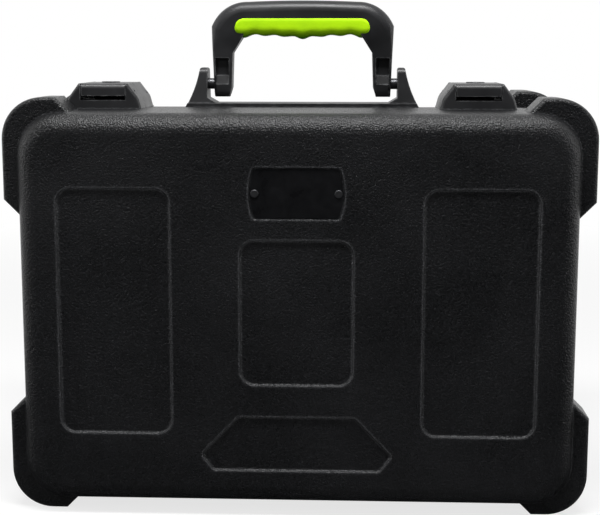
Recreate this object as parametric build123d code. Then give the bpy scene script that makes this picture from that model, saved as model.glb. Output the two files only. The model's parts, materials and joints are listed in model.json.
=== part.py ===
# Microphone case: a deep moulded case that stands on its bottom bumpers, with a carrying handle and two
# latches on top, and a lid that swings down on three hinges along its bottom edge.
# Millimetres, +Z up, X along the width, -Y out of the lid's face, origin under the middle of the case.
import os
from math import radians, sin, tan

from build123d import *

# ---------------------------------------------------------------- shells
case_width = 485.0          # outside, at the seam
case_height = 345.3         # outside, at the seam
stand_off = 10.5            # floor to the rim's lower edge
lid_depth = 92.0            # lid face to the seam
base_depth = 193.0          # seam to the rear face
rim_corner = 38.0           # corner radius at the seam
edge_round = 17.0           # rounding where the walls turn into the face
wall = 4.5
lid_draft = 1.0             # degrees
base_draft = 2.2            # degrees
seam_gap = 0.6
fit_gap = 0.3               # face-to-face clearance of seated pieces
match = 0.01                # how near a place has to be to count as the same

# ---------------------------------------------------------------- corner bumpers
bumper_side = 13.5          # how far they stand out of the rim, sideways
bumper_top = 11.5           # and upwards
bumper_run_x = 60.0         # length of a bumper along the top or bottom wall
bumper_run_z = 103.0        # length down the side wall
bumper_corner = 36.0
bumper_sink = 1.0           # how deep a sloped end runs into the wall
bumper_setback = 17.0       # from the lid's face, or the rear face
lid_bumper_length = 42.0
base_bumper_length = 60.0
bumper_edge = 3.5
bumper_root = 22.0          # how deep the bumper's block starts inside the outline

# ---------------------------------------------------------------- recessed panels
recess_depth = 2.5
recess_corner = 13.0
recess_slope = 25.0         # degrees, of the recess walls
recess_root = 1.0           # rounding at the foot of the walls
panel_width = 98.4
tall_panel_height = 216.5
mid_panel_height = 128.0
panel_spacing = 157.4       # middle of the case to the middle of a tall panel
panel_lift = 183.3          # floor to the middle of the panels
hex_top_half = 51.0         # six-sided recess: half widths and heights of its corners
hex_wide_half = 84.0
hex_bottom_half = 73.0
hex_top_z = 92.0
hex_wide_z = 57.5
hex_bottom_z = 42.4
hex_round = 5.0
plate_width = 83.0          # nameplate recess
plate_height = 45.0
plate_bulge = 4.0           # how far each end bows out
plate_lift = 287.0          # floor to the middle of the nameplate
plate_thick = 1.2
plate_gap = 0.7             # plate to the foot of the recess wall
plate_screw_spacing = 71.5
plate_screw_r = 1.6
plate_head_r = 3.4
plate_head_h = 1.2

# ---------------------------------------------------------------- valances
valance_thick = 2.2
valance_depth = 12.0        # into the base, and into the lid
tongue_height = 6.0
tongue_gap = 0.4            # tongue to the lid's wall

# ---------------------------------------------------------------- hinges
hinge_side = 92.5           # side of the case to the middle of an outer hinge
hinge_width = 48.0
leaf_length = 22.0
leaf_thick = 1.5
leaf_corner = 3.0
knuckle_r = 3.2
hinge_pin_r = 1.6
hinge_pin_gap = 0.05
knuckle_gap = 0.3           # between neighbouring knuckles
hinge_pin_head_r = 2.4
hinge_pin_head_h = 1.2
rivet_r = 1.9
rivet_head_r = 3.6
rivet_head_h = 1.2
rivet_gap = 0.05
hinge_rivet_spacing = 30.0
hinge_rivet_back = 16.5     # seam to the rivets

# ---------------------------------------------------------------- latches (lifts are above the top wall)
left_latch_side = 66.5      # side of the case to the middle of the latch
right_latch_gap = 17.0      # the handle bracket's foot to the latch
latch_base_width = 68.0
latch_shoulder_width = 63.0
latch_shoulder_lift = 9.5
latch_top_width = 44.0
latch_height = 22.0
latch_shoulder_round = 12.0
latch_edge = 3.0
latch_channel = 40.6        # between the ears
keeper_length = 27.0
keeper_floor = 7.4
keeper_pin_r = 2.5
keeper_pin_back = 17.0      # seam to the keeper pin
keeper_pin_lift = 15.2
keeper_pin_length = 52.0
keeper_screw_back = 23.2
housing_length = 46.0
housing_floor = 4.0
housing_rear_floor = 2.0
housing_step = 26.0         # seam to where the floor gets thin
housing_screw_backs = (17.5, 38.0)
lever_side_gap = 0.5
lever_reach = 26.0          # seam to the front of the nose
lever_plate = 3.4
lever_lip = 5.2
lever_lip_lift = 11.0
lever_nose_round = 4.5
lever_pin_r = 2.5
lever_pin_back = 37.0
lever_pin_lift = 12.3
lever_pin_length = 57.0
lever_boss_r = 7.0
lever_skirt = 3.0
lever_skirt_lift = 9.0
lever_skirt_start = 12.0    # ahead of the seam
latch_screw_spread = 24.5   # middle of the latch to its screws
latch_screw_r = 1.6
latch_screw_head_r = 3.8
latch_screw_head_h = 1.6
latch_screw_bite = 6.0
pin_gap = 0.05
lock_back = 14.0            # seam to the lock's axis
lock_disc_r = 8.5
lock_rise = 1.0
lock_barrel_r = 6.0
lock_barrel_length = 9.6
key_slot_length = 7.0
key_slot_width = 1.4
key_slot_depth = 1.5
cam_length = 14.5
cam_width = 8.0
cam_thick = 1.8
cam_corner = 1.5
cam_boss_r = 5.0
catch_gap = 0.5
catch_thick = 2.5
catch_reach = (8.5, 14.5)   # from the lock's axis, sideways

# ---------------------------------------------------------------- handle (lifts are above the top wall)
handle_back = 32.0          # seam to the plane of the handle
pivot_lift = 20.8
handle_width = 169.0
handle_top = 96.6
handle_crown = 3.0          # how much the top bows
handle_corner = 24.0
handle_leg = 18.6
handle_bar_thick = 24.0
handle_leg_thick = 20.0
handle_edge = 3.5
handle_foot = 12.0          # pivot to the lower end of a leg
handle_foot_round = 6.0
handle_knee_lift = 50.0     # where the inner diagonals start
handle_arch_half = 54.6
grip_width = 125.0
grip_thick = 27.0
grip_top_lift = 81.5
grip_low_lift = 64.5
grip_end_round = 8.0
grip_edge = 2.5
grip_bump = 2.6
grip_bump_pitch = 18.2
grip_bumps = 5
grip_core_half = 56.0
grip_core_thick = 16.0
grip_core_lift = 68.0
leg_window_width = 11.5
leg_window_height = 24.0
leg_window_depth = 4.0
leg_window_lift = 33.2
leg_window_round = 2.0
handle_pin_r = 5.0
handle_pin_bite = 8.0       # into the leg
leg_gap = 3.0               # leg to post
post_foot = 19.5            # a post's width at its foot
post_waist = 11.0
post_waist_lift = 19.0
post_top = 7.0
post_height = 35.6
post_thick = 32.0
post_top_thick = 20.0
post_toe = 7.5
post_toe_lifts = (3.6, 8.0)
post_top_round = 2.0
post_side_round = 6.0
bracket_plate = 3.2
bracket_length = 42.0
backing_thick = 2.2
backing_margin = 12.0       # beyond the screws
backing_length = 34.0
backing_corner = 5.0
bracket_screw_inset = 11.5  # a post's inner face to its screws
bracket_screw_spread = 9.0
bracket_screw_r = 2.2
bracket_screw_head_r = 4.4
bracket_screw_head_h = 2.0
bracket_screw_bite = 10.0

# ---------------------------------------------------------------- foam
lid_foam_thick = 30.0
foam_inset = 7.0            # outside of the case to the foam, at the seam
foam_round = 10.0
floor_pad_thick = 15.0
foam_setback = 6.0          # seam to the front of the drop block
drop_r = 22.0
drop_columns = 5
drop_rows = 3
drop_pitch_x = 86.0
drop_pitch_z = 74.0
drop_lift = 230.0           # floor to the middle row
well_width = 400.0
well_height = 62.0
well_lift = 66.0
well_corner = 8.0
foam_split = 115.0          # floor to the joint between drop block and well surround
backing_relief = 5.0
backing_relief_margin = 3.0

# ---------------------------------------------------------------- derived places
total_depth = lid_depth + base_depth
seam_y = -total_depth / 2 + lid_depth
face_y = seam_y - lid_depth
rear_y = seam_y + base_depth
mid_z = stand_off + case_height / 2
top_z = stand_off + case_height
hinge_z = stand_off - knuckle_r
handle_y = seam_y + handle_back
pivot_z = top_z + pivot_lift
plate_inset = recess_depth * tan(radians(recess_slope)) + plate_gap

front = Plane(origin=(0, seam_y, mid_z), x_dir=(1, 0, 0), z_dir=(0, -1, 0))
back = Plane(origin=(0, seam_y, mid_z), x_dir=(-1, 0, 0), z_dir=(0, 1, 0))
hinge_places = (hinge_side - case_width / 2, 0.0, case_width / 2 - hinge_side)
post_inner = handle_width / 2 + leg_gap
post_outer = post_inner + post_foot
latch_places = {
    "left": left_latch_side - case_width / 2,
    "right": post_outer + right_latch_gap + latch_base_width / 2,
}
bracket_screw_half = post_inner + bracket_screw_inset
backing_width = 2 * (bracket_screw_half + backing_margin)


def block(x0, x1, y0, y1, z0, z1):
    """A box from its corners."""
    return Pos((x0 + x1) / 2, (y0 + y1) / 2, (z0 + z1) / 2) * Box(x1 - x0, y1 - y0, z1 - z0)


def rod(centre, axis, r, length):
    """A round bar about the middle point, along the axis X, Y or Z."""
    turn = {"X": Rot(0, 90, 0), "Y": Rot(90, 0, 0), "Z": Rot(0, 0, 0)}[axis]
    return Pos(*centre) * turn * Cylinder(r, length)


def rim(inset):
    """The seam's outline, moved inwards by the inset."""
    return RectangleRounded(case_width - 2 * inset, case_height - 2 * inset, rim_corner - inset)


def drafted(plane, inset, depth, draft, rounding):
    """The outline drawn in with draft, its far edge rounded."""
    body = extrude(plane * rim(inset), amount=depth, taper=draft)
    far = body.faces().filter_by(Axis.Y).sort_by(Axis.Y)
    end = far[0] if plane.z_dir.Y < 0 else far[-1]
    return fillet(end.edges(), rounding)


def bumper(sign_x, sign_z, y0, y1):
    """One corner bumper: an L with ends cut at 45 degrees and a rounded corner, from y0 to y1."""
    half_w = case_width / 2
    half_h = case_height / 2
    x_out = half_w + bumper_side
    z_out = half_h + (bumper_top if sign_z > 0 else stand_off)
    x_end = x_out - bumper_run_x
    z_end = z_out - bumper_run_z
    ramp_z = z_out - half_h + bumper_sink
    ramp_x = bumper_side + bumper_sink
    points = [
        (x_end, half_h - bumper_root),
        (x_end, half_h - bumper_sink),
        (x_end + ramp_z, z_out),
        (x_out, z_out),
        (x_out, z_end + ramp_x),
        (half_w - bumper_sink, z_end),
        (half_w - bumper_root, z_end),
        (half_w - bumper_root, half_h - bumper_root),
    ]
    outline = make_face(Polyline(*[(sign_x * x, sign_z * z) for x, z in points], close=True))
    corner = outline.vertices().sort_by_distance((sign_x * x_out, sign_z * z_out, 0))[0]
    outline = fillet(corner, bumper_corner)
    plane = Plane(origin=(0, y1, mid_z), x_dir=(1, 0, 0), z_dir=(0, -1, 0))
    body = extrude(plane * outline, amount=y1 - y0)
    ends = body.faces().filter_by(Axis.Y)
    return fillet(ends[0].edges() + ends[1].edges(), bumper_edge)


def bumpers(y0, y1):
    """All four bumpers of one shell."""
    return [bumper(sx, sz, y0, y1) for sx in (-1, 1) for sz in (-1, 1)]


def nameplate_outline(grow):
    """A rectangle whose short ends bow outwards, grown by the given amount."""
    w = plate_width / 2 - plate_bulge + grow
    h = plate_height / 2 + grow
    top = Line((-w, h), (w, h))
    right = ThreePointArc((w, h), (w + plate_bulge, 0), (w, -h))
    bottom = Line((w, -h), (-w, -h))
    left = ThreePointArc((-w, -h), (-w - plate_bulge, 0), (-w, h))
    outline = make_face([top, right, bottom, left])
    return fillet(outline.vertices(), 3)


def hex_outline():
    """The six-sided recess under the middle panel."""
    z_values = (hex_top_z - mid_z, hex_wide_z - mid_z, hex_bottom_z - mid_z)
    halves = (hex_top_half, hex_wide_half, hex_bottom_half)
    right = list(zip(halves, z_values))
    left = [(-x, z) for x, z in reversed(right)]
    outline = make_face(Polyline(*right, *left, close=True))
    return fillet(outline.vertices(), hex_round)


def lid_recesses(grow):
    """The outlines of the lid's recesses, each grown by the given amount."""
    outlines = [
        Pos(x, panel_lift - mid_z) * RectangleRounded(panel_width + 2 * grow, tall_panel_height + 2 * grow,
                                                      recess_corner + grow)
        for x in (-panel_spacing, panel_spacing)
    ]
    outlines.append(Pos(0, panel_lift - mid_z) * RectangleRounded(
        panel_width + 2 * grow, mid_panel_height + 2 * grow, recess_corner + grow))
    outlines.append(offset(hex_outline(), grow) if grow else hex_outline())
    outlines.append(Pos(0, plate_lift - mid_z) * nameplate_outline(grow))
    return outlines


def rear_recesses(grow):
    """The outlines of the rear face's three panels."""
    return [
        Pos(x, 0) * RectangleRounded(panel_width + 2 * grow, tall_panel_height + 2 * grow, recess_corner + grow)
        for x in (-panel_spacing, 0, panel_spacing)
    ]


def sunk(shell, outlines, plane, depth):
    """The shell with each outline cut into its face, with sloping, rounded lips."""
    at_face = plane.offset(depth)
    for outline in outlines:
        tool = extrude(at_face * outline, amount=-recess_depth, taper=recess_slope)
        floor = tool.faces().filter_by(Axis.Y).sort_by(SortBy.AREA)[0]
        shell = shell - fillet(floor.edges(), recess_root)
    return shell


def shell_half(plane, depth, draft, y0, y1, outlines, grown):
    """A moulded half: drafted walls, bumpers, recesses, and a cavity that keeps the wall's thickness."""
    body = drafted(plane, 0, depth, draft, edge_round)
    for item in bumpers(y0, y1):
        body = body + item
    cavity = drafted(plane, wall, depth - wall, draft, edge_round - wall)
    for outline in grown:
        cavity = cavity - extrude(plane.offset(depth - wall) * outline, amount=-recess_depth)
    body = body - cavity
    body = body - extrude(plane * rim(wall), amount=valance_depth)
    body = sunk(body, outlines, plane, depth)
    return body - block(-case_width, case_width, seam_y - seam_gap / 2, seam_y + seam_gap / 2, 0, 2 * top_z)


def pad_under(x, half_width, s0, s1, top):
    """A flat moulded pad on the top wall, or on the bottom wall, between two distances from the seam."""
    z0, z1 = (top_z - wall / 2, top_z) if top else (stand_off, stand_off + wall / 2)
    return block(x - half_width, x + half_width, seam_y + s0, seam_y + s1, z0, z1)


def lid_shell():
    """The lid's moulded half."""
    y0 = face_y + bumper_setback
    shell = shell_half(front, lid_depth, lid_draft, y0, y0 + lid_bumper_length,
                       lid_recesses(0), lid_recesses(wall / 2))
    for x in latch_places.values():
        shell = shell + pad_under(x, latch_base_width / 2, -keeper_length, -seam_gap / 2, True)
    for x in hinge_places:
        shell = shell + pad_under(x, hinge_width / 2, -leaf_length - 1, -seam_gap / 2, False)
        shell = shell - rod((x, seam_y, hinge_z), "X", knuckle_r + 2 * fit_gap, hinge_width + 2)
    return shell


def base_shell():
    """The base's moulded half."""
    y1 = rear_y - bumper_setback
    shell = shell_half(back, base_depth, base_draft, y1 - base_bumper_length, y1,
                       rear_recesses(0), rear_recesses(wall / 2))
    for x in latch_places.values():
        shell = shell + pad_under(x, latch_base_width / 2, seam_gap / 2, housing_length + 1, True)
    shell = shell + pad_under(0, post_outer, handle_back - bracket_length / 2,
                              handle_back + bracket_length / 2, True)
    for x in hinge_places:
        shell = shell + pad_under(x, hinge_width / 2, seam_gap / 2, leaf_length + 1, False)
        shell = shell - rod((x, seam_y, hinge_z), "X", knuckle_r + 2 * fit_gap, hinge_width + 2)
    return shell


def slab(s0, s1):
    """All the space between two distances behind the seam."""
    return block(-case_width, case_width, seam_y + s0, seam_y + s1, -top_z, 2 * top_z)


def base_valance():
    """The base's aluminium edge: a ring inside the wall, with a tongue that reaches into the lid."""
    ring = extrude(back * (rim(wall) - rim(wall + valance_thick)), amount=valance_depth)
    tongue = extrude(front * (rim(wall + tongue_gap) - rim(wall + valance_thick)), amount=tongue_height)
    return ring + tongue


def lid_valance():
    """The lid's aluminium edge: a ring inside the wall that starts just past the tongue."""
    start = front.offset(tongue_height + tongue_gap)
    depth = valance_depth - tongue_height - tongue_gap
    return extrude(start * (rim(wall) - rim(wall + valance_thick)), amount=depth)


def wall_fastener(x, y, z_out, z_in, r, head_r, head_h, tail_r=0):
    """A rivet or screw through a top or bottom wall: a head inside, and a tail outside where it has one."""
    up = 1 if z_out > z_in else -1
    body = rod((x, y, (z_out + z_in) / 2), "Z", r, abs(z_out - z_in))
    body = body + rod((x, y, z_in - up * head_h / 2), "Z", head_r, head_h)
    if tail_r:
        body = body + rod((x, y, z_out + up * head_h / 2), "Z", tail_r, head_h)
    return body


def inner_wall(s, draft, reach, top):
    """The height of the top or bottom wall's inner face, clear of its slope within a head's reach."""
    drop = wall + (abs(s) + reach) * tan(radians(draft)) + pin_gap
    return top_z - drop if top else stand_off + drop


def hinge_rivet_points(sign):
    """Where the rivets of one side's leaves stand."""
    return [(x + dx * hinge_rivet_spacing / 2, seam_y + sign * hinge_rivet_back)
            for x in hinge_places for dx in (-1, 1)]


def hinge_rivets(sign, draft):
    """One side's rivets, through leaf and wall."""
    z_in = inner_wall(hinge_rivet_back, draft, rivet_head_r, False)
    z_out = stand_off - leaf_thick
    return [wall_fastener(x, y, z_out, z_in, rivet_r, rivet_head_r, rivet_head_h, rivet_head_r)
            for x, y in hinge_rivet_points(sign)]


def hinge_leaf(x, sign, spans):
    """A leaf under the wall, with its knuckles over the given spans of the hinge's width."""
    near = knuckle_r + fit_gap
    y0, y1 = sorted((seam_y + sign * near, seam_y + sign * leaf_length))
    leaf = block(x - hinge_width / 2, x + hinge_width / 2, y0, y1, stand_off - leaf_thick, stand_off)
    leaf = fillet(leaf.edges().filter_by(Axis.Z).sort_by(Axis.Y)[-2:] if sign > 0
                  else leaf.edges().filter_by(Axis.Z).sort_by(Axis.Y)[:2], leaf_corner)
    for a, b in spans:
        y0, y1 = sorted((seam_y, seam_y + sign * (near + 1)))
        leaf = leaf + block(x + a, x + b, y0, y1, stand_off - leaf_thick, stand_off)
        leaf = leaf + rod((x + (a + b) / 2, seam_y, hinge_z), "X", knuckle_r, b - a)
    leaf = leaf - rod((x, seam_y, hinge_z), "X", hinge_pin_r + hinge_pin_gap, hinge_width + 2)
    for px, py in hinge_rivet_points(sign):
        if abs(px - x) < hinge_width / 2:
            leaf = leaf - rod((px, py, stand_off), "Z", rivet_r + rivet_gap, 4 * leaf_thick)
    return leaf


def hinge(x):
    """The three pieces of one hinge."""
    third = hinge_width / 6
    half_gap = knuckle_gap / 2
    outer = [(-hinge_width / 2, -third - half_gap), (third + half_gap, hinge_width / 2)]
    pin = rod((x, seam_y, hinge_z), "X", hinge_pin_r, hinge_width)
    for sign in (-1, 1):
        centre = x + sign * (hinge_width + hinge_pin_head_h) / 2
        pin = pin + rod((centre, seam_y, hinge_z), "X", hinge_pin_head_r, hinge_pin_head_h)
    return {
        "base_leaf": hinge_leaf(x, 1, outer),
        "lid_leaf": hinge_leaf(x, -1, [(-third + half_gap, third - half_gap)]),
        "pin": pin,
    }


def latch_body(x, s0, s1, rounded_front):
    """The domed outline of a latch, as a solid between two distances behind the seam."""
    lifts = (0, latch_shoulder_lift, latch_height)
    halves = (latch_base_width / 2, latch_shoulder_width / 2, latch_top_width / 2)
    right = list(zip(halves, lifts))
    left = [(-half, lift) for half, lift in reversed(right)]
    outline = make_face(Polyline(*right, *left, close=True))
    near = latch_shoulder_lift - match, latch_shoulder_lift + match
    shoulders = outline.vertices().filter_by_position(Axis.Y, *near)
    outline = fillet(shoulders, latch_shoulder_round)
    plane = Plane(origin=(x, seam_y + s1, top_z), x_dir=(1, 0, 0), z_dir=(0, -1, 0))
    body = extrude(plane * outline, amount=s1 - s0)
    ends = body.faces().filter_by(Axis.Y).sort_by(Axis.Y)
    end = ends[0] if rounded_front else ends[-1]
    edges = [edge for edge in end.edges() if edge.center().Z > top_z + 1]
    return fillet(edges, latch_edge)


def latch_screw_points(x, backs):
    """Where the screws of a keeper or a housing stand."""
    return [(x + side * latch_screw_spread, seam_y + back) for back in backs for side in (-1, 1)]


def latch_screws(backs, draft):
    """Screws from inside the wall into both latches' keepers or housings."""
    screws = []
    for x in latch_places.values():
        for px, py in latch_screw_points(x, backs):
            z_in = inner_wall(py - seam_y, draft, latch_screw_head_r, True)
            screws.append(wall_fastener(px, py, top_z + latch_screw_bite, z_in, latch_screw_r,
                                        latch_screw_head_r, latch_screw_head_h))
    return screws


def latch_holes(body, points):
    """Blind screw holes in the underside of a keeper or a housing."""
    for px, py in points:
        depth = 2 * (latch_screw_bite + pin_gap)
        body = body - rod((px, py, top_z), "Z", latch_screw_r + pin_gap, depth)
    return body


def channel(x, s0, s1, lift):
    """The space between a latch's ears, above a floor."""
    half = latch_channel / 2
    return block(x - half, x + half, seam_y + s0, seam_y + s1, top_z + lift, top_z + 2 * latch_height)


def latch_keeper(x):
    """The lid's half of a latch: a domed block with two ears that hold the keeper pin."""
    body = latch_body(x, -keeper_length, -seam_gap / 2, True)
    body = body - channel(x, -keeper_length - 1, 1, keeper_floor)
    centre = (x, seam_y - keeper_pin_back, top_z + keeper_pin_lift)
    body = body - rod(centre, "X", keeper_pin_r + pin_gap, latch_base_width)
    return latch_holes(body, latch_screw_points(x, (-keeper_screw_back,)))


def latch_housing(x):
    """The base's half: a domed block with two cheeks, a stepped floor and a catch for the lock's cam."""
    body = latch_body(x, seam_gap / 2, housing_length, False)
    body = body - channel(x, -1, housing_step, housing_floor)
    body = body - channel(x, housing_step, housing_length + 1, housing_rear_floor)
    centre = (x, seam_y + lever_pin_back, top_z + lever_pin_lift)
    body = body - rod(centre, "X", lever_pin_r + pin_gap, latch_base_width)
    cam_top = latch_height - lock_barrel_length
    arm_low = top_z + cam_top + catch_gap
    stop_y = seam_y + lock_back - cam_width / 2 - catch_gap
    near, far = (x + reach for reach in catch_reach)
    body = body + block(near, far, stop_y - catch_thick, stop_y, top_z + housing_floor, arm_low + catch_thick)
    body = body + block(near, far, stop_y, stop_y + cam_width, arm_low, arm_low + catch_thick)
    return latch_holes(body, latch_screw_points(x, housing_screw_backs))


def latch_lever(x):
    """The lever: a nose that hooks over the keeper pin, a top plate with skirts, and a boss on its pin."""
    half = latch_channel / 2 - lever_side_gap
    top = latch_height
    under = top - lever_plate
    pivot = (lever_pin_back, lever_pin_lift)
    outer_r = top - lever_pin_lift
    diagonal = sin(radians(45)) * outer_r
    outline = make_face([
        Line((-lever_reach, lever_lip_lift), (-lever_reach, top)),
        Line((-lever_reach, top), (pivot[0], top)),
        ThreePointArc((pivot[0], top), (pivot[0] + diagonal, pivot[1] + diagonal),
                      (pivot[0] + outer_r, pivot[1])),
        Line((pivot[0] + outer_r, pivot[1]), (pivot[0] + lever_boss_r, pivot[1])),
        ThreePointArc((pivot[0] + lever_boss_r, pivot[1]), (pivot[0], pivot[1] - lever_boss_r),
                      (pivot[0] - lever_boss_r, pivot[1])),
        Line((pivot[0] - lever_boss_r, pivot[1]), (pivot[0] - lever_boss_r, under)),
        Line((pivot[0] - lever_boss_r, under), (lever_lip - lever_reach, under)),
        Line((lever_lip - lever_reach, under), (lever_lip - lever_reach, lever_lip_lift)),
        Line((lever_lip - lever_reach, lever_lip_lift), (-lever_reach, lever_lip_lift)),
    ])
    plane = Plane(origin=(x - half, seam_y, top_z), x_dir=(0, 1, 0), z_dir=(1, 0, 0))
    body = extrude(plane * outline, amount=2 * half)
    for side_x in (x - half, x + half - lever_skirt):
        body = body + block(side_x, side_x + lever_skirt, seam_y - lever_skirt_start,
                            seam_y + lever_pin_back - lever_boss_r, top_z + lever_skirt_lift, top_z + under)
    nose = [edge for edge in body.edges().filter_by(Axis.X)
            if abs(edge.center().Y - seam_y + lever_reach) < 0.1 and edge.center().Z > top_z + under]
    body = fillet(nose, lever_nose_round)
    centre = (x, seam_y + lever_pin_back, top_z + lever_pin_lift)
    body = body - rod(centre, "X", lever_pin_r + pin_gap, 2 * half + 2)
    return body - rod((x, seam_y + lock_back, top_z + top), "Z", lock_barrel_r + pin_gap, 4 * lever_plate)


def lock_cylinder(x):
    """The lock: a disc with a key slot on top of the lever, and a barrel through its plate."""
    top = top_z + latch_height
    y = seam_y + lock_back
    body = rod((x, y, top - lock_barrel_length / 2), "Z", lock_barrel_r, lock_barrel_length)
    disc = rod((x, y, top + lock_rise / 2), "Z", lock_disc_r, lock_rise)
    disc = fillet(disc.edges().sort_by(Axis.Z)[-1], lock_rise / 2)
    slot = Pos(x, y, top + lock_rise) * Box(key_slot_width, key_slot_length, 2 * key_slot_depth)
    return body + disc - slot


def lock_cam(x):
    """The cam under the barrel, pointing back along the lever when unlocked."""
    top = top_z + latch_height - lock_barrel_length
    y = seam_y + lock_back
    cam = block(x - cam_width / 2, x + cam_width / 2, y, y + cam_length, top - cam_thick, top)
    cam = fillet(cam.edges().filter_by(Axis.Z).sort_by(Axis.Y)[-2:], cam_corner)
    return cam + rod((x, y, top - cam_thick / 2), "Z", cam_boss_r, cam_thick)


def latch(x):
    """The pieces of one latch."""
    keeper_pin = rod((x, seam_y - keeper_pin_back, top_z + keeper_pin_lift), "X", keeper_pin_r,
                     keeper_pin_length)
    lever_pin = rod((x, seam_y + lever_pin_back, top_z + lever_pin_lift), "X", lever_pin_r,
                    lever_pin_length)
    return {
        "keeper": latch_keeper(x),
        "keeper_pin": keeper_pin,
        "housing": latch_housing(x),
        "lever": latch_lever(x),
        "lever_pin": lever_pin,
        "lock_cylinder": lock_cylinder(x),
        "lock_cam": lock_cam(x),
    }


def handle_plane(y):
    """A plane across the case at the handle, measured from the top wall."""
    return Plane(origin=(0, y, top_z), x_dir=(1, 0, 0), z_dir=(0, -1, 0))


def across(outline, thick):
    """An outline in the handle's plane, given thickness to both sides."""
    return extrude(handle_plane(handle_y) * outline, amount=thick / 2, both=True)


def along(profile):
    """A profile across the handle, carried over its whole width and the posts."""
    plane = Plane(origin=(-handle_width, handle_y, top_z), x_dir=(0, 1, 0), z_dir=(1, 0, 0))
    return extrude(plane * profile, amount=2 * handle_width)


def grip_outline():
    """The soft grip from the front: rounded ends, and finger bumps along its underside."""
    half = grip_width / 2
    swell = grip_bump_pitch / 2
    level = grip_low_lift - grip_bump / 2
    count = 2 * grip_bumps - 1
    start = count * swell / 2
    underside = []
    for i in range(count):
        x = start - i * swell
        peak = level - grip_bump / 2 if i % 2 == 0 else level + grip_bump / 2
        underside.append(ThreePointArc((x, level), (x - swell / 2, peak), (x - swell, level)))
    outline = make_face([
        Polyline((-start, level), (-half, level), (-half, grip_top_lift), (half, grip_top_lift),
                 (half, level), (start, level)),
        *underside,
    ])
    ends = [v for v in outline.vertices() if abs(abs(v.X) - half) < match]
    outline = fillet(ends, grip_end_round)
    roots = [v for v in outline.vertices() if abs(abs(v.X) - start) < 0.01 and v.Y < grip_low_lift]
    return fillet(roots, grip_bump_pitch / 4)


def grip_core():
    """The bar's core, which the grip is moulded around."""
    z0 = top_z + grip_core_lift
    half_thick = grip_core_thick / 2
    return block(-grip_core_half, grip_core_half, handle_y - half_thick, handle_y + half_thick,
                 z0, top_z + grip_top_lift + 1)


def handle_grip():
    """The soft grip: front, back and underside of the bar."""
    body = across(grip_outline(), grip_thick)
    faces = body.faces().filter_by(Axis.Y)
    body = fillet(faces[0].edges() + faces[1].edges(), grip_edge)
    return body - grip_core()


def handle_frame():
    """The carrying handle: two legs and a bowed bar, thicker at the bar, with a pocket in each leg."""
    half = handle_width / 2
    inner = half - handle_leg
    foot = pivot_lift - handle_foot
    shoulder = handle_top - handle_crown
    outline = make_face([
        ThreePointArc((-half, shoulder), (0, handle_top), (half, shoulder)),
        Polyline((half, shoulder), (half, foot), (inner, foot), (inner, handle_knee_lift),
                 (handle_arch_half, grip_low_lift), (-handle_arch_half, grip_low_lift),
                 (-inner, handle_knee_lift), (-inner, foot), (-half, foot), (-half, shoulder)),
    ])
    corners = outline.vertices().filter_by_position(Axis.Y, shoulder - match, shoulder + match)
    outline = fillet(corners, handle_corner)
    body = across(outline, handle_bar_thick)
    profile = make_face(Polyline(
        (-handle_leg_thick / 2, 0), (-handle_leg_thick / 2, handle_knee_lift),
        (-handle_bar_thick / 2, grip_low_lift), (-handle_bar_thick / 2, 2 * handle_top),
        (handle_bar_thick / 2, 2 * handle_top), (handle_bar_thick / 2, grip_low_lift),
        (handle_leg_thick / 2, handle_knee_lift), (handle_leg_thick / 2, 0), close=True))
    body = body & along(profile)
    feet = [e for e in body.edges() if abs(e.center().Z - top_z - foot) < match]
    body = fillet(feet, handle_foot_round)
    crown = [e for e in body.edges() if e.center().Z > top_z + handle_top - handle_corner
             and abs(abs(e.center().Y - handle_y) - handle_bar_thick / 2) < match]
    body = fillet(crown, handle_edge)
    body = body - across(grip_outline(), grip_thick) + grip_core()
    for side_sign in (-1, 1):
        x = side_sign * (half - handle_leg / 2)
        for face_sign in (-1, 1):
            y = handle_y + face_sign * handle_leg_thick / 2
            pocket = Pos(x, y, top_z + leg_window_lift) * Box(leg_window_width, 2 * leg_window_depth,
                                                              leg_window_height)
            body = body - fillet(pocket.edges().filter_by(Axis.Y), leg_window_round)
        bite = rod((side_sign * half, handle_y, pivot_z), "X", handle_pin_r + pin_gap, 2 * handle_pin_bite)
        body = body - bite
    return body


def handle_pins():
    """The two pivot pins, from the posts into the legs."""
    x0 = handle_width / 2 - handle_pin_bite
    x1 = post_inner + post_top
    return [rod((sign * (x0 + x1) / 2, handle_y, pivot_z), "X", handle_pin_r, x1 - x0) for sign in (-1, 1)]


def bracket_screw_points():
    """Where the bracket's screws stand."""
    return [(sx * bracket_screw_half, handle_y + sy * bracket_screw_spread)
            for sx in (-1, 1) for sy in (-1, 1)]


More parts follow.
